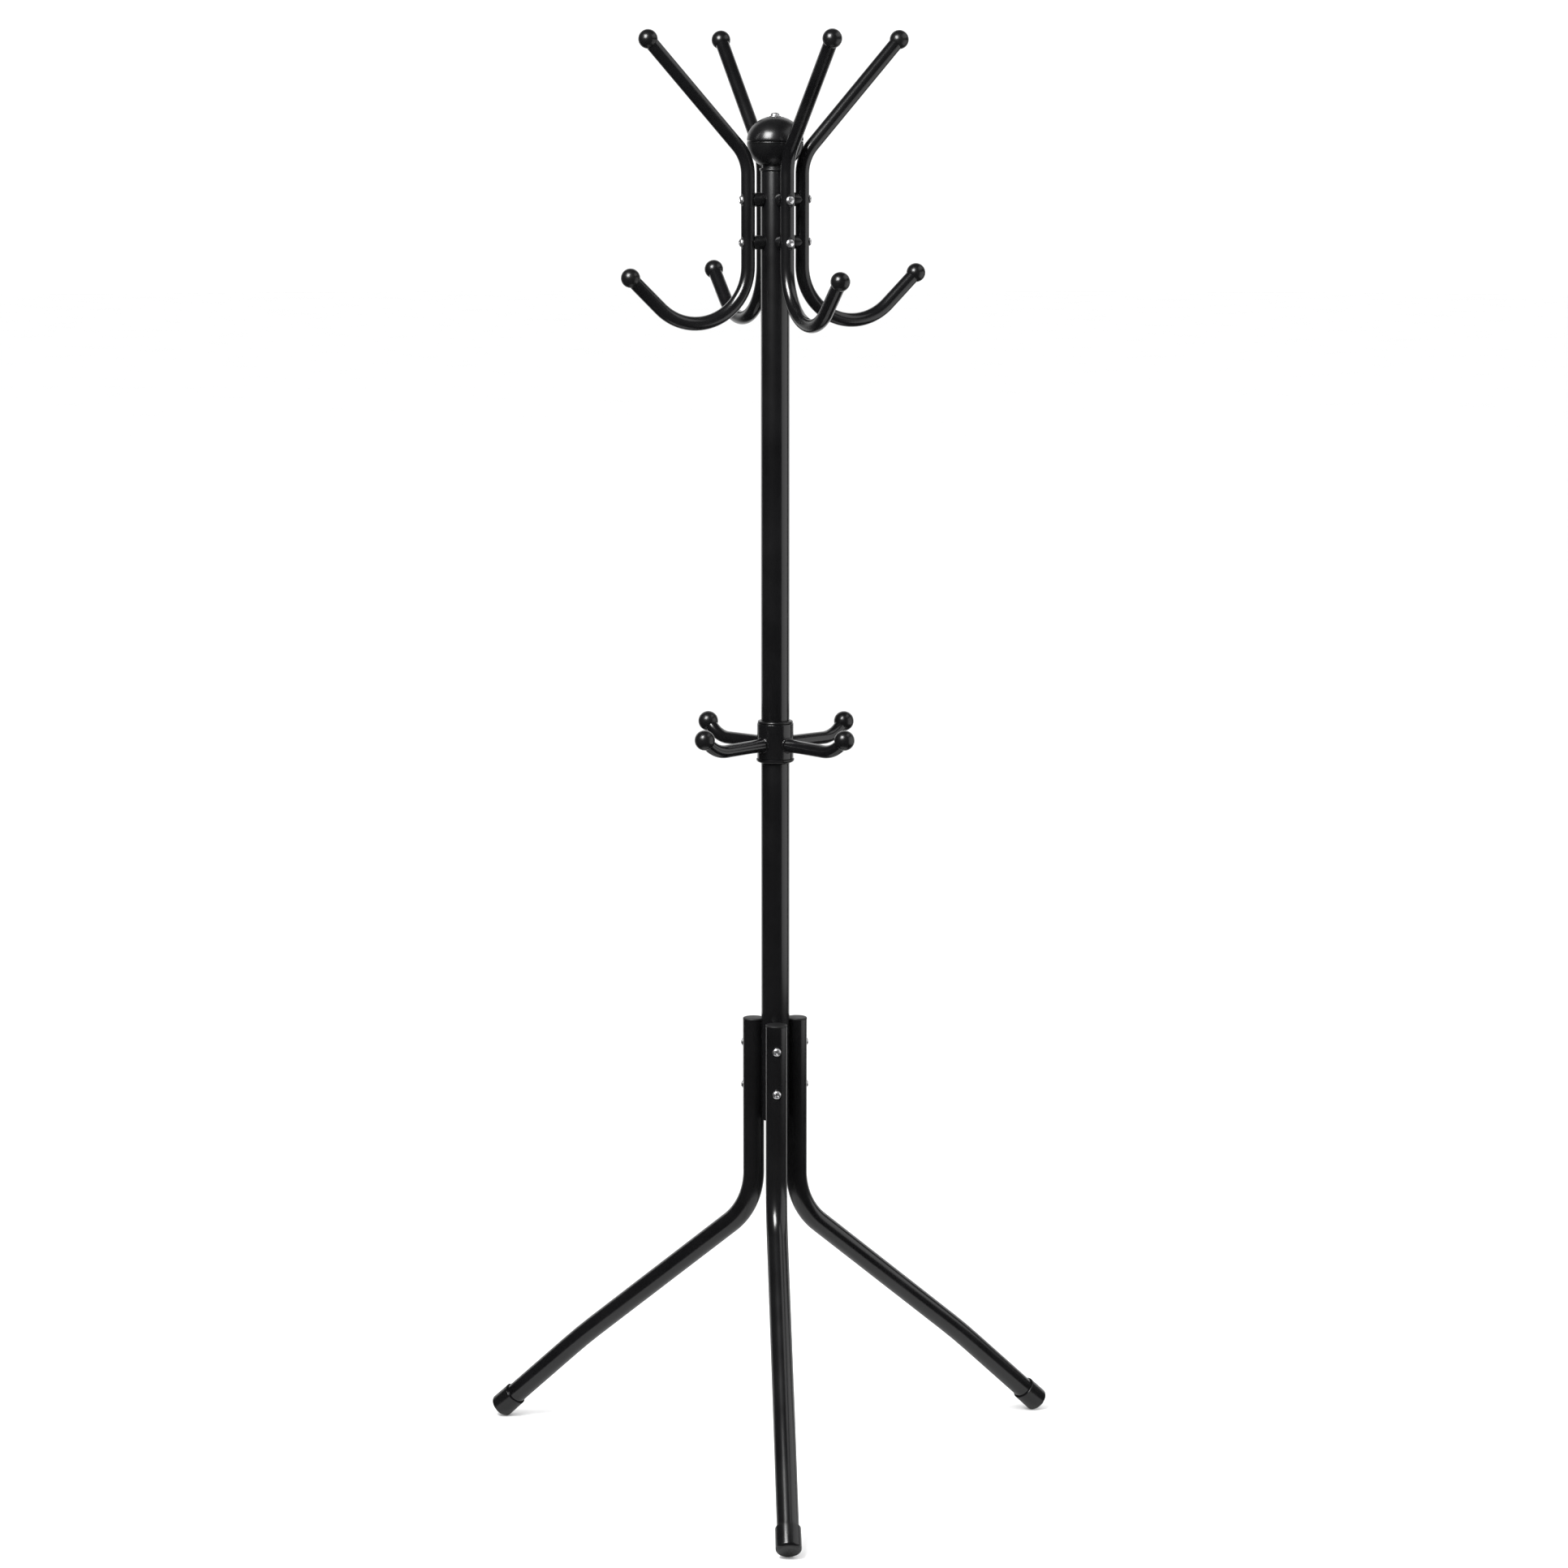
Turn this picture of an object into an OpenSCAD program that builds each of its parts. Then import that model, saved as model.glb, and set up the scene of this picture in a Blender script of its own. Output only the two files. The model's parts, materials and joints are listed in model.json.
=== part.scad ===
// Standing coat rack: a round steel pole on three bent tube legs, with four double hooks
// at the top, a ring of four short hooks that turns on the pole, and a ball finial.
// Millimetres, +Z up, origin on the floor on the axis of the pole.
// Compass angles are measured seen from above, from -Y (the front) towards +X (the right).

/* [Pole] */
// Outer diameter of the pole tube
pole_d = 34; // [31:0.5:36]
// Wall thickness of the pole tube
pole_wall = 1.2; // [1:0.1:1.5]
// Height of the top end of the pole
pole_top_z = 1568; // [1565:1:1572]
// Height of the open lower end of the pole
pole_bottom_z = 428; // [415:1:432]
// Height at which the upper tube meets the lower tube
pole_joint_z = 890; // [880:1:900]
// Length of the spigot that joins the two tubes
spigot_length = 120; // [100:5:140]

/* [Finial] */
// Width of the ball
finial_d = 67; // [60:1:72]
// Height of the ball's seam
finial_seam_z = 1602.5; // [1600:0.5:1606]
// Rise of the ball above its seam
finial_rise = 29.5; // [27:0.5:32]
// Drop of the ball's round below its seam, before it is cut by the neck
finial_drop = 33; // [31:0.5:36]
// Diameter of the neck under the ball
neck_d = 31.6; // [28:0.2:32]
// Diameter of the plug's flange on the pole
plug_flange_d = 37; // [34.5:0.5:38]
// Thickness of the plug's flange
plug_flange_h = 3.4; // [2.5:0.1:4]

/* [Double hooks] */
// Compass angle of the hook at the front right
hook_turn = 24; // [15:0.5:35]
// Diameter of the hook tube
hook_d = 16.5; // [15:0.5:17]
// Wall thickness of the hook tube
hook_wall = 1.5; // [1.3:0.1:1.8]
// Distance from the pole's axis to the upright run of the hook
hook_offset = 35; // [34:0.5:37]
// Height at which the upright run starts to bend outwards
arm_bend_z = 1564; // [1560:1:1568]
// Bend radius under the arm
arm_bend_r = 50; // [40:1:60]
// Lean of the arm from the vertical
arm_lean = 42.5; // [38:0.5:44]
// Straight length of the arm, to the middle of its ball
arm_straight = 167; // [160:0.5:185]
// Height at which the upright run starts to curl
curl_start_z = 1457; // [1455:1:1466]
// Bend radius of the curl
curl_r = 66; // [60:1:72]
// Rise of the curl's end from the level
curl_rise = 44; // [38:1:50]
// Straight length at the curl's end, to the middle of its ball
curl_straight = 52; // [45:1:60]
// Diameter of the ball ends of the double hooks
ball_d = 22.75; // [21.5:0.25:24]

/* [Hook fixings] */
// Height of the lower hook screws
hook_screw_low_z = 1484.5; // [1482:0.5:1489]
// Distance between the two screws of a hook
hook_screw_gap = 50; // [46:1:54]
// Diameter of the barrel spacers
spacer_d = 17; // [15:0.5:18]
// Diameter of the screw heads
screw_head_d = 10.2; // [9.4:0.1:10.6]
// Height of the screw heads
screw_head_h = 3.6; // [3:0.1:4]

/* [Hook ring] */
// Compass angle of the ring hook at the front right
ring_turn = 44.5; // [35:0.5:55]
// Height of the lower edge of the ring sleeve
ring_bottom_z = 869.5; // [866:0.5:872]
// Length of the ring sleeve
ring_length = 42.4; // [40:0.2:45]
// Outer diameter of the ring sleeve
ring_d = 43.6; // [42:0.2:44]
// Diameter of the ring hook tube
ring_hook_d = 15.5; // [14:0.5:16]
// Height at which the ring hooks leave the pole's axis
ring_hook_z = 887; // [886:0.2:891]
// Dip of the ring hooks on their way out
ring_hook_dip = 1; // [0:0.5:4]
// Straight length of a ring hook, from the pole's axis
ring_hook_straight = 81; // [78:1:86]
// Bend radius of the ring hooks
ring_hook_bend_r = 42; // [36:1:48]
// Rise of the ring hook's end from the level
ring_hook_rise = 42; // [36:1:50]
// Straight end of the ring hook, to the middle of its ball
ring_hook_tip = 9.2; // [9.2:0.1:12]
// Diameter of the ball ends of the ring hooks
ring_ball_d = 24; // [23:0.25:25]

/* [Legs] */
// Compass angle of the front leg
leg_turn = 2.3; // [0:0.1:4]
// Diameter of the leg tube
leg_d = 26; // [24:0.5:28]
// Wall thickness of the leg tube
leg_wall = 1.2; // [1.2:0.1:1.5]
// Height of the top end of the leg tubes
leg_top_z = 547; // [540:1:550]
// Height at which the legs start to bend outwards
leg_bend_z = 358; // [350:1:370]
// Bend radius of the legs
leg_bend_r = 88; // [80:1:100]
// Lean of the leg from the vertical, just after its bend
leg_lean_top = 51; // [50:0.5:55]
// Straight length of the leg below its bend
leg_straight = 247; // [220:1:260]
// Radius of the slight bow that steepens the leg towards its foot
leg_bow_r = 900; // [700:50:1100]
// Lean of the leg from the vertical, at its foot
leg_lean_foot = 48; // [46:0.5:50]
// Height of the lower leg screws
leg_screw_low_z = 465; // [456:0.5:466]
// Distance between the two screws of a leg
leg_screw_gap = 52.5; // [47:0.5:54]

/* [Foot caps] */
// Diameter of the rubber foot caps
foot_d = 30.5; // [28.5:0.5:32]
// Length of the rubber foot caps
foot_length = 30.5; // [26:0.5:36]

/* [Hidden] */
tube_fn = 48;
sweep_fn = 96;
wide_r = 400;
wide_fn = 720;
$fn = tube_fn;

steel_black = [0.10, 0.10, 0.11];
gloss_black = [0.05, 0.05, 0.06];
rubber_black = [0.13, 0.13, 0.13];
bright_steel = [0.80, 0.80, 0.82];
zinc_steel = [0.62, 0.64, 0.66];

fit = 0.05;
run_fit = 0.1;
face_gap = 0.3;
cut = 1;
lap = 0.4;
bend_slim = 0.2;

hook_turns = [for (i = [0:3]) hook_turn + 90 * i];
ring_turns = [for (i = [0:3]) ring_turn + 90 * i];
leg_turns = [for (i = [0:2]) leg_turn + 120 * i];

pole_bore_d = pole_d - 2 * pole_wall;
spigot_d = pole_bore_d - 2 * fit;
spigot_wall = 2;

// finial
neck_top_z = finial_seam_z - 27;
flange_top_z = pole_top_z + plug_flange_h;
plug_depth = 26;
plug_d = pole_bore_d - 2 * fit;
finial_wall = 3;
finial_washer_d = 14;
finial_washer_h = 1.2;
finial_seat_d = 18;
finial_seat_z = finial_seam_z + finial_rise - 1.2;
finial_shaft_d = 6;
finial_head_d = 10.6;
finial_nut_flats = 10;
finial_nut_h = 5;
finial_nut_z = pole_top_z - plug_depth;

// double hooks
ball_inset = 4;
screw_hole_d = 5.4;
hook_shaft_d = 5;
seat_depth = 0.8;
seat_d = screw_head_d + 0.4;
hook_seat_x = hook_offset + hook_d / 2 - seat_depth;
hook_screw_zs = [hook_screw_low_z, hook_screw_low_z + hook_screw_gap];
hook_middle_z = hook_screw_low_z + hook_screw_gap / 2;
spacer_in_x = 15.2;
spacer_out_x = 28.5;
spacer_edge = 1.5;

// rivet nuts, in the wall of the pole
hook_nut_d = 7;
hook_nut_in_x = 7;
leg_nut_d = 8;
leg_nut_in_x = 6.5;
nut_collar_d = 9.4;
nut_collar_h = 1.4;
nut_collar_x = 13.3;
nut_face_x = pole_d / 2 - 0.6;

// ring
bush_wall = 2.4;
bush_bore_d = pole_d + 2 * run_fit;
bush_d = bush_bore_d + 2 * bush_wall;
bush_flange_d = ring_d - 1.4;
bush_flange_h = 3;
ring_top_z = ring_bottom_z + ring_length;
stop_top_z = ring_bottom_z - face_gap;
stop_d = 45.4;
stop_h = 5.4;
stop_foot_d = 36;
weld_r = 1.9;
weld_in = 0.5;
ring_hook_wall = 1.5;

// legs
leg_offset = (pole_d + leg_d) / 2;
leg_seat_x = leg_offset + leg_d / 2 - seat_depth;
leg_shaft_d = 5.6;
leg_hole_d = 6;
leg_screw_zs = [leg_screw_low_z, leg_screw_low_z + leg_screw_gap];
leg_cap_h = 2;
leg_cap_depth = 12;
foot_sole = 5;
foot_mouth = 2;
foot_wear = 1.4;
foot_end_z = foot_d / 2 * sin(leg_lean_foot) - foot_wear;
leg_bend_end_z = leg_bend_z - leg_bend_r * sin(leg_lean_top);
bow_start_z = leg_bend_end_z - leg_straight * cos(leg_lean_top);
bow_end_z = bow_start_z - leg_bow_r * (sin(leg_lean_top) - sin(leg_lean_foot));
leg_end_straight = (bow_end_z - foot_end_z) / cos(leg_lean_foot);
foot_end_x = leg_offset + leg_bend_r * (1 - cos(leg_lean_top))
    + leg_straight * sin(leg_lean_top)
    + leg_bow_r * (cos(leg_lean_foot) - cos(leg_lean_top))
    + leg_end_straight * sin(leg_lean_foot);

// A tube's route is a list of runs: straight(length), or bend(radius, angle) where a
// positive angle turns from +Z towards +X.
function straight(length) = [0, length];
function bend(radius, angle) = [radius, angle];

arm_route = [
    straight(arm_bend_z - hook_middle_z),
    bend(arm_bend_r, arm_lean),
    straight(arm_straight - ball_inset)
];
curl_route = [
    straight(hook_middle_z - curl_start_z),
    bend(curl_r, 90 + curl_rise),
    straight(curl_straight - ball_inset)
];
ring_hook_route = [
    straight(ring_hook_straight),
    bend(ring_hook_bend_r, ring_hook_dip + ring_hook_rise),
    straight(ring_hook_tip - ball_inset)
];
leg_route = [
    straight(leg_top_z - leg_bend_z),
    bend(leg_bend_r, leg_lean_top),
    straight(leg_straight),
    bend(leg_bow_r, leg_lean_foot - leg_lean_top),
    straight(leg_end_straight - foot_sole)
];

// The points on the middle line of each hook where its ball sits
arm_ball_x = hook_offset + arm_bend_r * (1 - cos(arm_lean)) + arm_straight * sin(arm_lean);
arm_ball_z = arm_bend_z + arm_bend_r * sin(arm_lean) + arm_straight * cos(arm_lean);
curl_ball_x = hook_offset + curl_r * (1 + sin(curl_rise)) + curl_straight * cos(curl_rise);
curl_ball_z = curl_start_z - curl_r * cos(curl_rise) + curl_straight * sin(curl_rise);
ring_ball_x = ring_hook_straight * cos(ring_hook_dip)
    + ring_hook_bend_r * (sin(ring_hook_rise) + sin(ring_hook_dip))
    + ring_hook_tip * cos(ring_hook_rise);
ring_ball_z = ring_hook_z - ring_hook_straight * sin(ring_hook_dip)
    + ring_hook_bend_r * (cos(ring_hook_dip) - cos(ring_hook_rise))
    + ring_hook_tip * sin(ring_hook_rise);

// ---- helpers ----

// Turns a child drawn along +X to a compass angle
module facing(compass) {
    rotate([0, 0, compass - 90]) children();
}

// Lays a child drawn along +Z along +X, starting at x
module outward(x, z) {
    translate([x, 0, z]) rotate([0, 90, 0]) children();
}

module arc_run(radius, angle, d) {
    translate([radius, 0, 0])
        mirror([1, 0, 0])
            rotate([90, 0, 0])
                rotate_extrude(angle = angle, $fn = radius > wide_r ? wide_fn : sweep_fn)
                    translate([radius, 0])
                        circle(d = d, $fn = tube_fn);
}

// One continuous round bar along a route, from the origin along +Z. A tube slims a little
// where it is bent, and the straight run after a bend laps back into it.
module bar(route, d, i = 0) {
    if (i < len(route)) {
        radius = route[i][0];
        amount = route[i][1];
        if (radius == 0) {
            start = i > 0 ? -lap : 0;
            translate([0, 0, start]) cylinder(h = amount - start, d = d);
            translate([0, 0, amount]) bar(route, d, i + 1);
        } else {
            side = amount > 0 ? 1 : -1;
            turn = abs(amount);
            if (side > 0) {
                arc_run(radius, turn, d - bend_slim);
            } else {
                mirror([1, 0, 0]) arc_run(radius, turn, d - bend_slim);
            }
            translate([side * radius * (1 - cos(turn)), 0, radius * sin(turn)])
                rotate([0, side * turn, 0])
                    bar(route, d, i + 1);
        }
    }
}

module pan_head(d, h) {
    rim = 0.35 * h;
    flat = 0.275 * d;
    slot = 0.17 * d;
    difference() {
        rotate_extrude()
            polygon(concat(
                [[0, 0], [d / 2, 0]],
                [for (a = [0:15:90]) [flat + (d / 2 - flat) * cos(a), rim + (h - rim) * sin(a)]],
                [[0, h]]
            ));
        for (a = [45, 135])
            rotate([0, 0, a])
                translate([-0.29 * d, -slot / 2, 0.4 * h])
                    cube([0.58 * d, slot, h]);
    }
}

// A pan-head screw: the head stands on z = 0 and the shaft hangs below
module pan_screw(head_d, head_h, shaft_d, shaft_l) {
    pan_head(head_d, head_h);
    translate([0, 0, -shaft_l]) cylinder(h = shaft_l, d = shaft_d);
}

module radial_screws(turns, heights, seat_x, shaft_d, shaft_l) {
    for (compass = turns, z = heights)
        facing(compass)
            outward(seat_x, z)
                pan_screw(screw_head_d, screw_head_h, shaft_d, shaft_l);
}

module radial_holes(turns, heights, d, from_x, length) {
    for (compass = turns, z = heights)
        facing(compass)
            outward(from_x, z)
                cylinder(h = length, d = d);
}

module rivet_nut(body_d, in_x, bore_d) {
    difference() {
        union() {
            translate([0, 0, in_x]) cylinder(h = nut_face_x - in_x, d = body_d);
            translate([0, 0, nut_collar_x]) cylinder(h = nut_collar_h, d = nut_collar_d);
        }
        translate([0, 0, in_x - cut]) cylinder(h = pole_d, d = bore_d);
    }
}

module rivet_nuts(turns, heights, body_d, in_x, bore_d) {
    for (compass = turns, z = heights)
        facing(compass)
            outward(0, z)
                rivet_nut(body_d, in_x, bore_d);
}

module pipe(z0, z1, d_out, d_in) {
    translate([0, 0, z0])
        difference() {
            cylinder(h = z1 - z0, d = d_out);
            translate([0, 0, -cut]) cylinder(h = z1 - z0 + 2 * cut, d = d_in);
        }
}

// ---- pole ----

module pole_upper() {
    color(steel_black)
        difference() {
            pipe(pole_joint_z, pole_top_z, pole_d, pole_bore_d);
            radial_holes(hook_turns, hook_screw_zs, hook_nut_d + 2 * fit, 0, pole_d);
        }
}

module pole_lower() {
    color(steel_black)
        difference() {
            pipe(pole_bottom_z, pole_joint_z, pole_d, pole_bore_d);
            radial_holes(leg_turns, leg_screw_zs, leg_nut_d + 2 * fit, 0, pole_d);
        }
}

module pole_spigot() {
    color(zinc_steel)
        pipe(pole_joint_z - spigot_length / 2, pole_joint_z + spigot_length / 2,
            spigot_d, spigot_d - 2 * spigot_wall);
}

module pole_end_plug() {
    flange = 2.2;
    depth = 14;
    color(rubber_black)
        difference() {
            union() {
                translate([0, 0, pole_bottom_z - flange]) cylinder(h = flange, d = pole_d - 0.4);
                translate([0, 0, pole_bottom_z]) cylinder(h = depth, d = plug_d);
            }
            translate([0, 0, pole_bottom_z + cut]) cylinder(h = depth, d = plug_d - 4);
        }
}

// ---- finial ----

module finial_plug() {
    color(gloss_black)
        difference() {
            union() {
                translate([0, 0, pole_top_z - plug_depth]) cylinder(h = plug_depth, d = plug_d);
                translate([0, 0, pole_top_z]) cylinder(h = plug_flange_h, d = plug_flange_d);
                translate([0, 0, flange_top_z]) cylinder(h = neck_top_z - flange_top_z, d = neck_d);
            }
            translate([0, 0, finial_nut_z - cut])
                cylinder(h = finial_nut_h + cut, d = (finial_nut_flats + 2 * fit) / cos(30), $fn = 6);
            translate([0, 0, finial_nut_z]) cylinder(h = 2 * plug_depth, d = finial_shaft_d + 4 * fit);
        }
}

// The round of the ball, drawn in from its surface by inset
module finial_round(inset) {
    translate([0, 0, finial_seam_z])
        rotate_extrude()
            polygon([for (a = [90:-5:-90]) [
                (finial_d / 2 - inset) * cos(a),
                ((a > 0 ? finial_rise : finial_drop) - inset) * sin(a)
            ]]);
}

// The slice of a child between two heights
module between(z0, z1) {
    intersection() {
        children();
        translate([0, 0, z0]) cylinder(h = z1 - z0, d = 2 * finial_d);
    }
}

module finial_shell(z0, z1) {
    boss_d = 13;
    difference() {
        between(z0, z1) finial_round(0);
        difference() {
            between(neck_top_z + finial_wall, finial_seat_z - finial_wall)
                finial_round(finial_wall);
            translate([0, 0, neck_top_z]) cylinder(h = finial_d, d = boss_d);
        }
        translate([0, 0, finial_seat_z]) cylinder(h = finial_rise, d = finial_seat_d);
        translate([0, 0, neck_top_z - cut])
            cylinder(h = finial_d, d = finial_shaft_d + 4 * fit);
    }
}

module finial_ball_top() {
    color(gloss_black) finial_shell(finial_seam_z, finial_seam_z + finial_rise);
}

module finial_ball_bottom() {
    color(gloss_black) finial_shell(neck_top_z, finial_seam_z);
}

module finial_washer() {
    color(bright_steel)
        pipe(finial_seat_z, finial_seat_z + finial_washer_h, finial_washer_d,
            finial_shaft_d + 4 * fit);
}

module finial_screw() {
    head_z = finial_seat_z + finial_washer_h;
    color(bright_steel)
        translate([0, 0, head_z])
            pan_screw(finial_head_d, 4, finial_shaft_d, head_z - finial_nut_z + 2);
}

module finial_nut() {
    color(zinc_steel)
        translate([0, 0, finial_nut_z])
            difference() {
                cylinder(h = finial_nut_h, d = finial_nut_flats / cos(30), $fn = 6);
                translate([0, 0, -cut])
                    cylinder(h = finial_nut_h + 2 * cut, d = finial_shaft_d + 2 * fit);
            }
}

// ---- double hooks ----

module hook_bar(d) {
    translate([hook_offset, 0, hook_middle_z]) {
        bar(arm_route, d);
        mirror([0, 0, 1]) bar(curl_route, d);
    }
}

module double_hook(compass) {
    color(steel_black)
        facing(compass)
            difference() {
                hook_bar(hook_d);
                hook_bar(hook_d - 2 * hook_wall);
                for (z = hook_screw_zs) {
                    outward(pole_d / 2, z) cylinder(h = 2 * hook_d, d = screw_hole_d);
                    outward(hook_seat_x, z) cylinder(h = hook_d, d = seat_d);
                }
            }
}

// A ball end with a blind socket for a tube that comes from -Z
module ball_end(d, tube_d) {
    difference() {
        sphere(d = d);
        translate([0, 0, -d]) cylinder(h = d - ball_inset, d = tube_d + 2 * fit);
    }
}

module arm_ball(compass) {
    color(gloss_black)
        facing(compass)
            translate([arm_ball_x, 0, arm_ball_z])
                rotate([0, arm_lean, 0])
                    ball_end(ball_d, hook_d);
}

module curl_ball(compass) {
    color(gloss_black)
        facing(compass)
            translate([curl_ball_x, 0, curl_ball_z])
                rotate([0, 90 - curl_rise, 0])
                    ball_end(ball_d, hook_d);
}

module spacer() {
    length = spacer_out_x - spacer_in_x;
    edge_d = spacer_d - 2 * spacer_edge;
    difference() {
        outward(spacer_in_x, 0)
            rotate_extrude()
                polygon([
                    [0, 0],
                    [edge_d / 2, 0],
                    [spacer_d / 2, spacer_edge],
                    [spacer_d / 2, length - spacer_edge],
                    [edge_d / 2, length],
                    [0, length]
                ]);
        translate([0, 0, -spacer_d]) cylinder(h = 2 * spacer_d, d = pole_d);
        translate([hook_offset, 0, -spacer_d]) cylinder(h = 2 * spacer_d, d = hook_d);
        outward(0, 0) cylinder(h = 2 * hook_offset, d = screw_hole_d);
    }
}

module hook_spacers() {
    color(gloss_black)
        for (compass = hook_turns, z = hook_screw_zs)
            facing(compass)
                translate([0, 0, z])
                    spacer();
}

module hook_screws() {
    color(bright_steel)
        radial_screws(hook_turns, hook_screw_zs, hook_seat_x, hook_shaft_d,
            hook_seat_x - hook_nut_in_x - 1);
}

module hook_rivet_nuts() {
    color(zinc_steel)
        rivet_nuts(hook_turns, hook_screw_zs, hook_nut_d, hook_nut_in_x, hook_shaft_d + 2 * fit);
}

// ---- turning ring ----

module ring_sleeve() {
    color(steel_black)
        pipe(ring_bottom_z, ring_top_z, ring_d, bush_d + 2 * fit);
}

module ring_bush() {
    color(gloss_black) {
        difference() {
            union() {
                translate([0, 0, ring_bottom_z]) cylinder(h = ring_length, d = bush_d);
                translate([0, 0, ring_top_z]) cylinder(h = bush_flange_h, d = bush_flange_d);
            }
            translate([0, 0, ring_bottom_z - cut])
                cylinder(h = ring_length + bush_flange_h + 2 * cut, d = bush_bore_d);
        }
    }
}

module ring_stop_collar() {
    color(gloss_black)
        translate([0, 0, stop_top_z - stop_h])
            difference() {
                rotate_extrude()
                    polygon(concat(
                        [[0, 0]],
                        [for (a = [0:15:90]) [
                            (stop_foot_d + (stop_d - stop_foot_d) * sin(a)) / 2,
                            0.75 * stop_h * (1 - cos(a))
                        ]],
                        [[stop_d / 2, stop_h], [0, stop_h]]
                    ));
                translate([0, 0, -cut]) cylinder(h = stop_h + 2 * cut, d = pole_d + 2 * fit);
            }
}

module ring_hook_bar(d) {
    translate([0, 0, ring_hook_z])
        rotate([0, 90 + ring_hook_dip, 0])
            mirror([1, 0, 0])
                bar(ring_hook_route, d);
}

module ring_core() {
    translate([0, 0, ring_bottom_z - ring_length])
        cylinder(h = 3 * ring_length, d = ring_d);
}

module ring_hook(compass) {
    color(steel_black)
        facing(compass)
            difference() {
                ring_hook_bar(ring_hook_d);
                ring_hook_bar(ring_hook_d - 2 * ring_hook_wall);
                ring_core();
            }
}

module ring_ball(compass) {
    color(gloss_black)
        facing(compass)
            translate([ring_ball_x, 0, ring_ball_z])
                rotate([0, 90 - ring_hook_rise, 0])
                    ball_end(ring_ball_d, ring_hook_d);
}

module ring_welds() {
    color(steel_black)
        for (compass = ring_turns)
            facing(compass)
                difference() {
                    translate([0, 0, ring_hook_z])
                        rotate([0, 90 + ring_hook_dip, 0])
                            translate([0, 0, ring_d / 2 - weld_in])
                                rotate_extrude()
                                    translate([ring_hook_d / 2, 0])
                                        circle(r = weld_r);
                    ring_core();
                    ring_hook_bar(ring_hook_d);
                }
}

// ---- legs ----

module leg_bar(d) {
    translate([leg_offset, 0, leg_top_z])
        mirror([0, 0, 1])
            bar(leg_route, d);
}

// The middle of a foot cap's end face, with +Z along the leg, outwards
module at_foot() {
    translate([foot_end_x, 0, foot_end_z])
        rotate([0, 180 - leg_lean_foot, 0])
            children();
}

module leg(compass) {
    color(steel_black)
        facing(compass)
            difference() {
                leg_bar(leg_d);
                leg_bar(leg_d - 2 * leg_wall);
                for (z = leg_screw_zs) {
                    outward(pole_d / 4, z) cylinder(h = 2 * leg_d, d = leg_hole_d);
                    outward(leg_seat_x, z) cylinder(h = leg_d, d = seat_d);
                }
            }
}

module leg_cap(compass) {
    color(gloss_black)
        facing(compass)
            translate([leg_offset, 0, leg_top_z]) {
                difference() {
                    translate([0, 0, -leg_cap_depth])
                        cylinder(h = leg_cap_depth, d = leg_d - 2 * leg_wall - 2 * fit);
                    translate([0, 0, -leg_cap_depth - cut])
                        cylinder(h = leg_cap_depth, d = leg_d - 2 * leg_wall - 4);
                }
                rotate_extrude()
                    polygon([
                        [0, 0],
                        [leg_d / 2, 0],
                        [leg_d / 2, leg_cap_h - 1],
                        [leg_d / 2 - 1, leg_cap_h],
                        [0, leg_cap_h]
                    ]);
            }
}

module foot_cap(compass) {
    color(rubber_black)
        facing(compass)
            difference() {
                at_foot()
                    difference() {
                        translate([0, 0, -foot_length])
                            rotate_extrude()
                                polygon([
                                    [0, 0],
                                    [leg_d / 2 + 0.8, 0],
                                    [foot_d / 2, foot_mouth],
                                    [foot_d / 2, foot_length - 1],
                                    [foot_d / 2 - 1, foot_length],
                                    [0, foot_length]
                                ]);
                        translate([0, 0, -foot_length - cut])
                            cylinder(h = foot_length + cut - foot_sole, d = leg_d + 2 * face_gap);
                    }
                translate([0, -foot_d, -2 * foot_d])
                    cube([2 * foot_end_x, 2 * foot_d, 2 * foot_d]);
            }
}

module leg_screws() {
    color(bright_steel)
        radial_screws(leg_turns, leg_screw_zs, leg_seat_x, leg_shaft_d,
            leg_seat_x - leg_nut_in_x - 1);
}

module leg_rivet_nuts() {
    color(zinc_steel)
        rivet_nuts(leg_turns, leg_screw_zs, leg_nut_d, leg_nut_in_x, leg_shaft_d + 2 * fit);
}

pole_upper();
pole_lower();
pole_spigot();
pole_end_plug();
finial_plug();
finial_ball_top();
finial_ball_bottom();
finial_washer();
finial_screw();
finial_nut();
double_hook(hook_turns[0]);  // double_hook_front_right
double_hook(hook_turns[1]);  // double_hook_back_right
double_hook(hook_turns[2]);  // double_hook_back_left
double_hook(hook_turns[3]);  // double_hook_front_left
arm_ball(hook_turns[0]);  // arm_ball_front_right
arm_ball(hook_turns[1]);  // arm_ball_back_right
arm_ball(hook_turns[2]);  // arm_ball_back_left
arm_ball(hook_turns[3]);  // arm_ball_front_left
curl_ball(hook_turns[0]);  // curl_ball_front_right
curl_ball(hook_turns[1]);  // curl_ball_back_right
curl_ball(hook_turns[2]);  // curl_ball_back_left
curl_ball(hook_turns[3]);  // curl_ball_front_left
hook_spacers();
hook_screws();
hook_rivet_nuts();
ring_sleeve();
ring_bush();
ring_stop_collar();
ring_welds();
ring_hook(ring_turns[0]);  // ring_hook_front_right
ring_hook(ring_turns[1]);  // ring_hook_back_right
ring_hook(ring_turns[2]);  // ring_hook_back_left
ring_hook(ring_turns[3]);  // ring_hook_front_left
ring_ball(ring_turns[0]);  // ring_ball_front_right
ring_ball(ring_turns[1]);  // ring_ball_back_right
ring_ball(ring_turns[2]);  // ring_ball_back_left
ring_ball(ring_turns[3]);  // ring_ball_front_left
leg(leg_turns[0]);  // leg_front
leg(leg_turns[1]);  // leg_right
leg(leg_turns[2]);  // leg_left
leg_cap(leg_turns[0]);  // leg_cap_front
leg_cap(leg_turns[1]);  // leg_cap_right
leg_cap(leg_turns[2]);  // leg_cap_left
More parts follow.
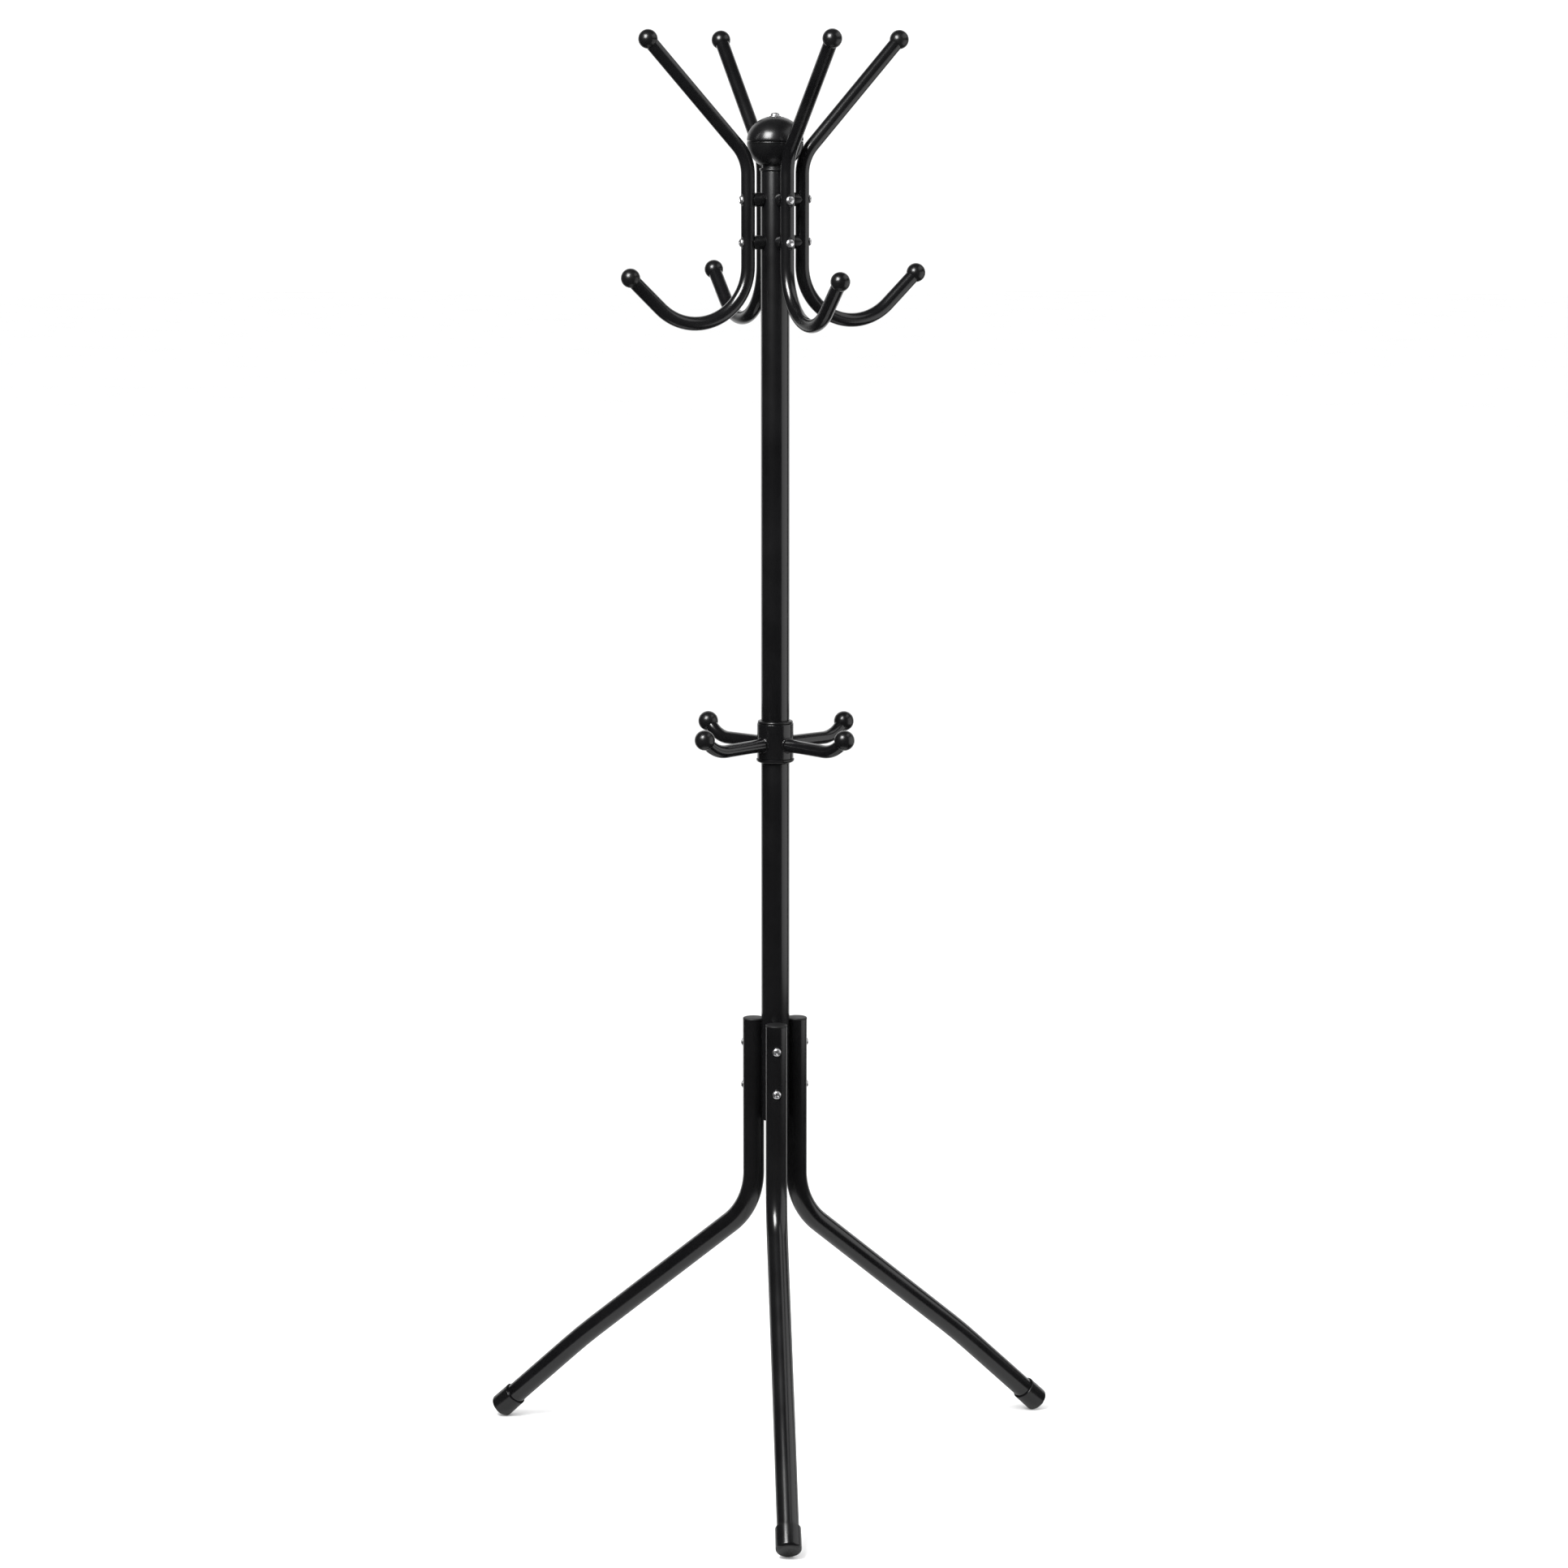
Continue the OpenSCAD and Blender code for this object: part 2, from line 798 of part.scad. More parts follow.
foot_cap(leg_turns[0]);  // foot_cap_front
foot_cap(leg_turns[1]);  // foot_cap_right
foot_cap(leg_turns[2]);  // foot_cap_left
leg_screws();
leg_rivet_nuts();
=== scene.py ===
"""Standing coat rack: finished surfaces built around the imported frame. Metres, +Z up."""

import json
import math

import bmesh
import bpy
from mathutils import Matrix, Vector


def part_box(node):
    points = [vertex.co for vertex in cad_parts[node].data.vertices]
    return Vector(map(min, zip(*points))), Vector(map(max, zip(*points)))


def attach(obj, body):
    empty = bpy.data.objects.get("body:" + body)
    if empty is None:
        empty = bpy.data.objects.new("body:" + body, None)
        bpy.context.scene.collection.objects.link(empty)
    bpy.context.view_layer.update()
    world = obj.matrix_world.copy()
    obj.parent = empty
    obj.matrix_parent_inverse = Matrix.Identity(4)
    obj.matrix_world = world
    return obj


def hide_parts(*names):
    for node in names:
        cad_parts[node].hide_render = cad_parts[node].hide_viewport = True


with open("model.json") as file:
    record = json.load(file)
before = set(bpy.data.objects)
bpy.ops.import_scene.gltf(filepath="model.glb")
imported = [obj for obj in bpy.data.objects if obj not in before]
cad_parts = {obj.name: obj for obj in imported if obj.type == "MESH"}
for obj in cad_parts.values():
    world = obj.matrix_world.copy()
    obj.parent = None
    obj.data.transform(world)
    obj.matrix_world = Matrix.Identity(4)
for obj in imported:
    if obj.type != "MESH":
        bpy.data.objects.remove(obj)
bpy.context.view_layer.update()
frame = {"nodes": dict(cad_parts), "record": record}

MM = 0.001
TURNING = "hook_ring"
FIXED = "rack"
CORNERS = ("front_right", "back_right", "back_left", "front_left")
LEGS = ("front", "right", "left")

# Compass angles, seen from above, from the front (-Y) towards the right (+X)
HOOK_TURN = 24
RING_TURN = 44.5
LEG_TURN = 2.3

# Bends and runs of the tubes
ARM_BEND_Z = 1564 * MM
ARM_BEND_R = 50 * MM
ARM_LEAN = 42.5
ARM_STRAIGHT = 167 * MM
CURL_START_Z = 1457 * MM
CURL_R = 66 * MM
CURL_RISE = 44
CURL_STRAIGHT = 52 * MM
RING_HOOK_DIP = 1
RING_HOOK_Z = 887 * MM
RING_HOOK_STRAIGHT = 81 * MM
RING_HOOK_BEND_R = 42 * MM
RING_HOOK_RISE = 42
RING_HOOK_TIP = 9.2 * MM
LEG_BEND_Z = 358 * MM
LEG_BEND_R = 88 * MM
LEG_LEAN_TOP = 51
LEG_STRAIGHT = 247 * MM
LEG_BOW_R = 900 * MM
LEG_LEAN_FOOT = 48

HOOK_SCREWS_Z = (1484.5 * MM, 1534.5 * MM)
LEG_SCREWS_Z = (465 * MM, 517.5 * MM)


# ---- sizes read from the frame ----


def half_width(node):
    low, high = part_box(node)
    return (high.x - low.x) / 2


POLE_R = half_width("pole_lower")
POLE_LOW_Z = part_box("pole_lower")[0].z
POLE_JOINT_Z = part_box("pole_upper")[0].z
POLE_TOP_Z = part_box("pole_upper")[1].z
BALL_R = 11.375 * MM
RING_BALL_R = 12 * MM
HOOK_R = 8.25 * MM
HOOK_X = 35 * MM
RING_HOOK_R = 7.75 * MM
SLEEVE_R = half_width("ring_sleeve")
SLEEVE_LOW_Z, SLEEVE_TOP_Z = (corner.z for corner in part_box("ring_sleeve"))
BUSH_TOP_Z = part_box("ring_bush")[1].z
BUSH_R = half_width("ring_bush")
STOP_R = half_width("ring_stop_collar")
STOP_LOW_Z, STOP_TOP_Z = (corner.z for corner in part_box("ring_stop_collar"))
LEG_R = 13 * MM
FOOT_R = 15.25 * MM
LEG_X = POLE_R + LEG_R
LEG_TOP_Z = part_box("leg_front")[1].z
LEG_CAP_TOP_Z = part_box("leg_cap_front")[1].z
FINIAL_R = half_width("finial_ball_top")
FINIAL_LOW_Z, FINIAL_SEAM_Z = (corner.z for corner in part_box("finial_ball_bottom"))
FLANGE_R = half_width("finial_plug")
WASHER_LOW_Z, WASHER_TOP_Z = (corner.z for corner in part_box("finial_washer"))
WASHER_R = half_width("finial_washer")

# the flat seats under the screw heads
SEAT_DEPTH = 0.8 * MM
HOOK_SEAT_X = HOOK_X + HOOK_R - SEAT_DEPTH
LEG_SEAT_X = LEG_X + LEG_R - SEAT_DEPTH


# ---- node materials ----


class Nodes:
    """A material's node tree, with short ways to add and join nodes."""

    def __init__(self, name):
        self.material = bpy.data.materials.new(name)
        self.material.use_nodes = True
        self.tree = self.material.node_tree
        self.shader = self.tree.nodes["Principled BSDF"]

    def add(self, kind, **values):
        node = self.tree.nodes.new(kind)
        for key, value in values.items():
            setattr(node, key, value)
        return node

    def link(self, source, target):
        self.tree.links.new(source, target)

    def noise(self, scale, detail=3, roughness=0.55):
        place = self.add("ShaderNodeTexCoord")
        node = self.add("ShaderNodeTexNoise")
        node.inputs["Scale"].default_value = scale
        node.inputs["Detail"].default_value = detail
        node.inputs["Roughness"].default_value = roughness
        self.link(place.outputs["Object"], node.inputs["Vector"])
        return node.outputs["Fac"]

    def remap(self, source, low, high, start=0.3, stop=0.7):
        node = self.add("ShaderNodeMapRange")
        for key, value in zip(("From Min", "From Max", "To Min", "To Max"), (start, stop, low, high)):
            node.inputs[key].default_value = value
        self.link(source, node.inputs["Value"])
        return node.outputs["Result"]

    def two_tones(self, source, first, second):
        node = self.add("ShaderNodeMix", data_type="RGBA")
        self.link(source, node.inputs["Factor"])
        node.inputs[6].default_value = (*first, 1)
        node.inputs[7].default_value = (*second, 1)
        self.link(node.outputs[2], self.shader.inputs["Base Color"])

    def bump(self, source, strength, distance, below=None):
        node = self.add("ShaderNodeBump")
        node.inputs["Strength"].default_value = strength
        node.inputs["Distance"].default_value = distance
        self.link(source, node.inputs["Height"])
        if below is not None:
            self.link(below, node.inputs["Normal"])
        self.link(node.outputs["Normal"], self.shader.inputs["Normal"])
        return node.outputs["Normal"]

    def fix(self, **values):
        names = {
            "metallic": "Metallic", "ior": "IOR",
            "coat": "Coat Weight", "coat_roughness": "Coat Roughness",
        }
        for key, value in values.items():
            self.shader.inputs[names[key]].default_value = value


def tube_coat():
    """Baked black enamel on steel: smooth, with a faint orange peel and uneven gloss."""
    nodes = Nodes("tube_coat")
    nodes.fix(ior=1.5, coat=0.2, coat_roughness=0.12)
    cloudy = nodes.noise(14, 4)
    nodes.two_tones(nodes.remap(cloudy, 0, 1), (0.0022, 0.0022, 0.0025), (0.0042, 0.0042, 0.0046))
    nodes.link(nodes.remap(cloudy, 0.20, 0.27), nodes.shader.inputs["Roughness"])
    peel = nodes.bump(nodes.noise(420, 2), 0.10, 0.0002)
    nodes.bump(nodes.noise(2600, 1), 0.05, 0.00005, peel)
    return nodes.material


def ball_plastic():
    """Glossy black moulded plastic of the balls, the finial, the spacers, the bush and the collar."""
    nodes = Nodes("ball_plastic")
    nodes.fix(ior=1.49)
    cloudy = nodes.noise(45, 3)
    nodes.two_tones(nodes.remap(cloudy, 0, 1), (0.0025, 0.0025, 0.0028), (0.0045, 0.0045, 0.0048))
    nodes.link(nodes.remap(cloudy, 0.25, 0.32), nodes.shader.inputs["Roughness"])
    nodes.bump(nodes.noise(300, 2), 0.05, 0.0002)
    return nodes.material


def soft_plastic():
    """Dull black plastic of the plugs in the tops of the legs, finely grained."""
    nodes = Nodes("soft_plastic")
    nodes.fix(ior=1.48)
    cloudy = nodes.noise(60, 3)
    nodes.two_tones(nodes.remap(cloudy, 0, 1), (0.003, 0.003, 0.0033), (0.006, 0.006, 0.0063))
    nodes.link(nodes.remap(cloudy, 0.48, 0.6), nodes.shader.inputs["Roughness"])
    nodes.bump(nodes.noise(1500, 2), 0.12, 0.0001)
    return nodes.material


def foot_rubber():
    """Black rubber of the feet and the pole's end plug, finely grained, dusty near the floor."""
    nodes = Nodes("foot_rubber")
    nodes.fix(ior=1.5)
    place = nodes.add("ShaderNodeTexCoord")
    split = nodes.add("ShaderNodeSeparateXYZ")
    nodes.link(place.outputs["Object"], split.inputs["Vector"])
    scuff = nodes.add("ShaderNodeMath", operation="MULTIPLY")
    nodes.link(nodes.remap(split.outputs["Z"], 1, 0, 0.0, 0.012), scuff.inputs[0])
    nodes.link(nodes.noise(220, 5, 0.7), scuff.inputs[1])
    nodes.two_tones(scuff.outputs["Value"], (0.0035, 0.0035, 0.0038), (0.03, 0.0295, 0.0285))
    nodes.link(nodes.remap(nodes.noise(90, 3), 0.20, 0.28), nodes.shader.inputs["Roughness"])
    nodes.bump(nodes.noise(1300, 3), 0.16, 0.0001)
    return nodes.material


def bright_screw():
    """Nickel-plated steel, with fine turning marks."""
    nodes = Nodes("bright_screw")
    nodes.fix(metallic=1)
    nodes.two_tones(nodes.remap(nodes.noise(350, 3), 0, 1), (0.66, 0.66, 0.67), (0.82, 0.82, 0.83))
    nodes.link(nodes.remap(nodes.noise(900, 4), 0.28, 0.40), nodes.shader.inputs["Roughness"])
    nodes.bump(nodes.noise(1800, 3), 0.10, 0.00005)
    return nodes.material


def plain_steel():
    """Zinc-plated steel of the hidden nuts and the spigot."""
    nodes = Nodes("plain_steel")
    nodes.fix(metallic=1)
    nodes.two_tones(nodes.remap(nodes.noise(180, 4), 0, 1), (0.42, 0.43, 0.45), (0.56, 0.57, 0.58))
    nodes.link(nodes.remap(nodes.noise(400, 4), 0.28, 0.45), nodes.shader.inputs["Roughness"])
    nodes.bump(nodes.noise(900, 3), 0.12, 0.0001)
    return nodes.material


MATERIALS = {
    make.__name__: make()
    for make in (tube_coat, ball_plastic, soft_plastic, foot_rubber, bright_screw, plain_steel)
}


# ---- mesh helpers ----


def facing(compass):
    """Turns what is drawn along +X to a compass angle."""
    return Matrix.Rotation(math.radians(compass - 90), 4, "Z")


def outward(x, z):
    """Lays what is drawn along +Z along +X, starting at x."""
    return Matrix.Translation((x, 0, z)) @ Matrix.Rotation(math.pi / 2, 4, "Y")


def add_piece(name, mesh, slot, body, replaced):
    """Makes a finished piece of a bmesh, with its material, body and the nodes that it stands for."""
    bmesh.ops.recalc_face_normals(mesh, faces=mesh.faces)
    data = bpy.data.meshes.new(name)
    mesh.to_mesh(data)
    mesh.free()
    data.shade_smooth()
    data.set_sharp_from_angle(angle=math.radians(38))
    data.materials.append(MATERIALS[slot])
    piece = bpy.data.objects.new(name, data)
    bpy.context.scene.collection.objects.link(piece)
    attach(piece, body)
    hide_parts(*replaced)
    return piece


def filleted(points, radii, steps=5):
    """An open outline whose inner corners are rounded; radii holds one radius per corner."""
    out = [Vector(points[0])]
    for before, corner, after, radius in zip(points, points[1:], points[2:], radii):
        a, b, c = Vector(before), Vector(corner), Vector(after)
        into, away = (a - b).normalized(), (c - b).normalized()
        half = into.angle(away) / 2
        if radius == 0 or half > math.radians(89):
            out.append(b)
            continue
        reach = radius / math.tan(half)
        centre = b + (into + away).normalized() * radius / math.sin(half)
        start = (b + into * reach - centre).normalized()
        stop = (b + away * reach - centre).normalized()
        for i in range(steps + 1):
            out.append(centre + start.slerp(stop, i / steps) * radius)
    out.append(Vector(points[-1]))
    return out


def lathe(mesh, outline, place=Matrix(), segments=96, closed=False):
    """Turns an outline of (radius, height) points about +Z. A closed outline makes a ring."""
    rings = []
    for r, z in outline:
        if r < 1e-7:
            rings.append([mesh.verts.new(place @ Vector((0, 0, z)))])
            continue
        rings.append([
            mesh.verts.new(place @ Vector((r * math.cos(a), r * math.sin(a), z)))
            for a in (2 * math.pi * i / segments for i in range(segments))
        ])
    pairs = list(zip(rings, rings[1:]))
    if closed:
        pairs.append((rings[-1], rings[0]))
    for low, high in pairs:
        for i in range(segments):
            j = (i + 1) % segments
            corners = [low[i % len(low)], low[j % len(low)], high[j % len(high)], high[i % len(high)]]
            corners = list(dict.fromkeys(corners))
            if len(corners) > 2:
                mesh.faces.new(corners)


def route_stations(runs, x, z, heading, arc_step=2.5):
    """Points (x, z, heading) along runs of (radius, amount). A straight run has radius 0.

    A heading is measured from +Z towards +X, in degrees.
    """
    stations = [(x, z, heading)]
    for radius, amount in runs:
        a = math.radians(heading)
        if radius == 0:
            x, z = x + amount * math.sin(a), z + amount * math.cos(a)
            stations.append((x, z, heading))
            continue
        side = math.copysign(1, amount)
        centre = (x + side * radius * math.cos(a), z - side * radius * math.sin(a))
        count = math.ceil(abs(amount) / arc_step)
        for i in range(1, count + 1):
            b = math.radians(heading + amount * i / count)
            x = centre[0] - side * radius * math.cos(b)
            z = centre[1] + side * radius * math.sin(b)
            stations.append((x, z, math.degrees(b)))
        heading += amount
    return stations


def tube(mesh, stations, radius, place, segments=64, shape=None):
    """A round bar along stations in the XZ plane, closed at both ends. shape moves each point."""
    rings = []
    for x, z, heading in stations:
        a = math.radians(heading)
        across = Vector((math.cos(a), 0, -math.sin(a)))
        ring = []
        for i in range(segments):
            t = 2 * math.pi * i / segments
            point = Vector((x, 0, z)) + radius * (across * math.cos(t) + Vector((0, math.sin(t), 0)))
            ring.append(mesh.verts.new(place @ (shape(point) if shape else point)))
        rings.append(ring)
    for low, high in zip(rings, rings[1:]):
        for i in range(segments):
            j = (i + 1) % segments
            mesh.faces.new((low[i], low[j], high[j], high[i]))
    mesh.faces.new(rings[0])
    mesh.faces.new(rings[-1])


def smooth_step(value):
    t = min(max(value, 0), 1)
    return t * t * (3 - 2 * t)


def dimpled(seat_x, heights, inner=5.6 * MM, outer=8 * MM):
    """Presses a flat seat into the outer side of a tube round each screw."""

    def shape(point):
        if point.x < seat_x:
            return point
        for z in heights:
            away = math.hypot(point.y, point.z - z)
            if away < outer:
                t = smooth_step((away - inner) / (outer - inner))
                return Vector((seat_x + (point.x - seat_x) * t, point.y, point.z))
        return point

    return shape


def with_fine_steps(stations, heights, reach=9 * MM, step=0.75 * MM):
    """Adds stations along the upright run, close together round each screw."""
    upright = [s for s in stations if s[2] in (0, 180)]
    x, z_low = upright[0][0], min(s[1] for s in upright)
    z_high, heading = max(s[1] for s in upright), upright[0][2]
    extra = []
    for middle in heights:
        count = round(2 * reach / step)
        extra += [(x, middle - reach + i * step, heading) for i in range(count + 1)]
    kept = [s for s in stations if s not in upright]
    ends = [(x, z_low, heading), (x, z_high, heading)]
    run = sorted(ends + extra, key=lambda s: s[1], reverse=heading == 180)
    first = next((i for i, s in enumerate(stations) if s in upright), 0)
    return kept[:first] + run + kept[first:]


# ---- pole ----


def build_pole():
    rim = 0.5 * MM
    bore_r = POLE_R - 1.2 * MM
    for name, low, high in (
        ("pole_lower", POLE_LOW_Z, POLE_JOINT_Z),
        ("pole_upper", POLE_JOINT_Z, POLE_TOP_Z),
    ):
        mesh = bmesh.new()
        outline = filleted([(bore_r, low), (POLE_R, low), (POLE_R, high), (bore_r, high)], [rim, rim], 3)
        inner = [Vector((bore_r, high)), Vector((bore_r, low))]
        lathe(mesh, outline[1:-1] + inner, segments=128, closed=True)
        add_piece(f"{name}_tube", mesh, "tube_coat", FIXED, [name])

    low, high = (corner.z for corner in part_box("pole_end_plug"))
    plug_r = half_width("pole_end_plug")
    stem_r = plug_r - 3 * MM
    mesh = bmesh.new()
    outline = [
        (0, low), (plug_r, low), (plug_r, POLE_LOW_Z),
        (stem_r, POLE_LOW_Z), (stem_r, high), (0, high),
    ]
    lathe(mesh, filleted(outline, [1.4 * MM, 0.3 * MM, 0, 0.8 * MM]), segments=96)
    add_piece("pole_end_plug_cap", mesh, "foot_rubber", FIXED, ["pole_end_plug"])


# ---- finial ----


def build_finial():
    seam = 0.55 * MM
    drop = 33 * MM

    def arc(first, last, height, steps=30):
        angles = (math.radians(first + (last - first) * i / steps) for i in range(steps + 1))
        return [(FINIAL_R * math.cos(a), FINIAL_SEAM_Z + height * math.sin(a)) for a in angles]

    seat_r = 9 * MM
    screw_hole_r = 3.2 * MM
    rise = 29.5 * MM
    top = [p for p in arc(0, 90, rise) if p[0] > seat_r + 0.8 * MM]
    top = [(p[0], max(p[1], FINIAL_SEAM_Z + seam)) for p in top]
    top_edge = [(FINIAL_R - 3 * MM, FINIAL_SEAM_Z + seam), (FINIAL_R - 0.5 * MM, FINIAL_SEAM_Z + seam)]
    seat = [
        (seat_r + 0.5 * MM, WASHER_LOW_Z + 0.25 * MM),
        (seat_r, WASHER_LOW_Z),
        (screw_hole_r, WASHER_LOW_Z),
        (screw_hole_r, WASHER_LOW_Z - 3 * MM),
    ]
    mesh = bmesh.new()
    outline = top_edge + top[1:] + seat + [(FINIAL_R - 3 * MM, WASHER_LOW_Z - 22 * MM)]
    lathe(mesh, outline, segments=160, closed=True)
    add_piece("finial_ball_upper_shell", mesh, "ball_plastic", FIXED, ["finial_ball_top"])

    # the lower shell ends in a narrow raised band, with a groove below it
    band_low = FINIAL_SEAM_Z - 1.7 * MM
    round_part = [p for p in arc(-4, -90, drop, steps=44) if p[1] > FINIAL_LOW_Z]
    band = [
        (FINIAL_R - 3 * MM, FINIAL_SEAM_Z),
        (FINIAL_R - 0.9 * MM, FINIAL_SEAM_Z),
        (FINIAL_R - 0.35 * MM, FINIAL_SEAM_Z - 0.3 * MM),
        (FINIAL_R - 0.15 * MM, FINIAL_SEAM_Z - 0.9 * MM),
        (FINIAL_R - 0.35 * MM, band_low + 0.1 * MM),
        (FINIAL_R - 0.7 * MM, band_low - 0.15 * MM),
    ]
    foot_r = round_part[-1][0] - 0.6 * MM
    inner = [(foot_r, FINIAL_LOW_Z), (6 * MM, FINIAL_LOW_Z), (6 * MM, FINIAL_LOW_Z + 3 * MM)]
    hollow = [(FINIAL_R - 6 * MM, FINIAL_SEAM_Z - 8 * MM)]
    mesh = bmesh.new()
    lathe(mesh, band + round_part + inner + hollow, segments=160, closed=True)
    add_piece("finial_ball_lower_shell", mesh, "ball_plastic", FIXED, ["finial_ball_bottom"])

    # plug: a neck over a flange with a rounded rim, and a step under the ball
    neck_r = 15.8 * MM
    flange_top = 1571.4 * MM
    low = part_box("finial_plug")[0].z
    outline = [
        (4 * MM, low), (POLE_R - 1.4 * MM, low), (POLE_R - 1.4 * MM, POLE_TOP_Z), (FLANGE_R, POLE_TOP_Z),
        (FLANGE_R, flange_top), (neck_r, flange_top), (neck_r, FINIAL_LOW_Z), (4 * MM, FINIAL_LOW_Z),
    ]
    radii = [0.8 * MM, 0, 0.9 * MM, 1.3 * MM, 0.6 * MM, 0.5 * MM]
    mesh = bmesh.new()
    lathe(mesh, filleted(outline, radii), segments=128, closed=True)
    add_piece("finial_neck", mesh, "ball_plastic", FIXED, ["finial_plug"])

    mesh = bmesh.new()
    outline = [
        (screw_hole_r, WASHER_LOW_Z), (WASHER_R, WASHER_LOW_Z),
        (WASHER_R, WASHER_TOP_Z), (screw_hole_r, WASHER_TOP_Z),
    ]
    lathe(mesh, filleted(outline, [0.2 * MM, 0.4 * MM]), segments=72, closed=True)
    add_piece("finial_bright_washer", mesh, "bright_screw", FIXED, ["finial_washer"])


# ---- screws ----


def cross_cutter(mesh, head_r, head_h):
    """Two tapered wings that cut a cross recess into a screw head."""
    deep_end = (0.35 * head_h, 0.22 * head_r, 0.07 * head_r)
    wide_end = (1.2 * head_h, 0.66 * head_r, 0.19 * head_r)
    for turn in (0, 90):
        spin = Matrix.Rotation(math.radians(turn), 4, "Z")
        corners = []
        for z, long, thin in (deep_end, wide_end):
            for x, y in ((-long, -thin), (long, -thin), (long, thin), (-long, thin)):
                corners.append(mesh.verts.new(spin @ Vector((x, y, z))))
        a, b = corners[:4], corners[4:]
        mesh.faces.new(a[::-1])
        mesh.faces.new(b)
        for i in range(4):
            j = (i + 1) % 4
            mesh.faces.new((a[i], a[j], b[j], b[i]))


def pan_head_mesh(head_r, head_h, shaft_r, shaft_l):
    """One screw, standing on z = 0, as mesh data with its cross recess cut out."""
    head = bmesh.new()
    rim = 0.3 * head_h
    dome = [
        (head_r * (0.3 + 0.7 * math.cos(a)), rim + (head_h - rim) * math.sin(a))
        for a in (math.radians(9 * i) for i in range(11))
    ]
    outline = [(0, -shaft_l), (shaft_r, -shaft_l), (shaft_r, 0), (head_r - 0.3 * MM, 0), (head_r, 0.3 * MM)]
    lathe(head, outline + dome + [(0, head_h)], segments=64)
    bmesh.ops.recalc_face_normals(head, faces=head.faces)
    cutter = bmesh.new()
    cross_cutter(cutter, head_r, head_h)
    bmesh.ops.recalc_face_normals(cutter, faces=cutter.faces)
    objects = []
    for name, part in (("screw_blank", head), ("screw_recess", cutter)):
        data = bpy.data.meshes.new(name)
        part.to_mesh(data)
        part.free()
        blank = bpy.data.objects.new(name, data)
        bpy.context.scene.collection.objects.link(blank)
        objects.append(blank)
    blank, recess = objects
    cut = blank.modifiers.new("recess", "BOOLEAN")
    cut.operation = "DIFFERENCE"
    cut.solver = "EXACT"
    cut.use_self = True
    cut.object = recess
    soft = blank.modifiers.new("edges", "BEVEL")
    soft.width = 0.12 * MM
    soft.segments = 2
    soft.limit_method = "ANGLE"
    soft.angle_limit = math.radians(40)
    depsgraph = bpy.context.evaluated_depsgraph_get()
    finished = bpy.data.meshes.new_from_object(blank.evaluated_get(depsgraph))
    for item in objects:
        bpy.data.objects.remove(item)
    return finished


def build_screws():
    turns = [HOOK_TURN + 90 * i for i in range(4)]
    leg_turns = [LEG_TURN + 120 * i for i in range(3)]
    head_r, head_h = 5.1 * MM, 3.6 * MM
    sets = (
        ("hook_screws", turns, HOOK_SCREWS_Z, HOOK_SEAT_X, 2.5 * MM, 33 * MM),
        ("leg_screws", leg_turns, LEG_SCREWS_Z, LEG_SEAT_X, 2.8 * MM, 30 * MM),
    )
    golden = 137.5
    for name, compasses, heights, x, shaft_r, shaft_l in sets:
        screw = pan_head_mesh(head_r, head_h, shaft_r, shaft_l)
        mesh = bmesh.new()
        for i, (compass, z) in enumerate((c, z) for c in compasses for z in heights):
            place = facing(compass) @ outward(x, z) @ Matrix.Rotation(math.radians(golden * (i + 1)), 4, "Z")
            part = screw.copy()
            part.transform(place)
            mesh.from_mesh(part)
            bpy.data.meshes.remove(part)
        add_piece(f"{name}_bright", mesh, "bright_screw", FIXED, [name])

    screw = pan_head_mesh(head_r=5.3 * MM, head_h=4 * MM, shaft_r=3 * MM, shaft_l=40 * MM)
    screw.transform(Matrix.Translation((0, 0, WASHER_TOP_Z)) @ Matrix.Rotation(math.radians(25), 4, "Z"))
    mesh = bmesh.new()
    mesh.from_mesh(screw)
    add_piece("finial_screw_bright", mesh, "bright_screw", FIXED, ["finial_screw"])


# ---- double hooks ----


def ball(mesh, place, ball_r, tube_r):
    """A ball end round the end of a tube, with a softened socket mouth."""
    mouth = math.asin((tube_r + 0.25 * MM) / ball_r)
    start = -math.pi / 2 + mouth
    inner = [(0, -4 * MM), (tube_r + 0.05 * MM, -4 * MM)]
    lip = [(tube_r + 0.05 * MM, ball_r * math.sin(start) + 0.25 * MM)]
    outer = [
        (ball_r * math.cos(a), ball_r * math.sin(a))
        for a in (start + (math.pi / 2 - start) * i / 30 for i in range(31))
    ]
    outer[-1] = (0, ball_r)
    lathe(mesh, inner + lip + outer, place, segments=72)


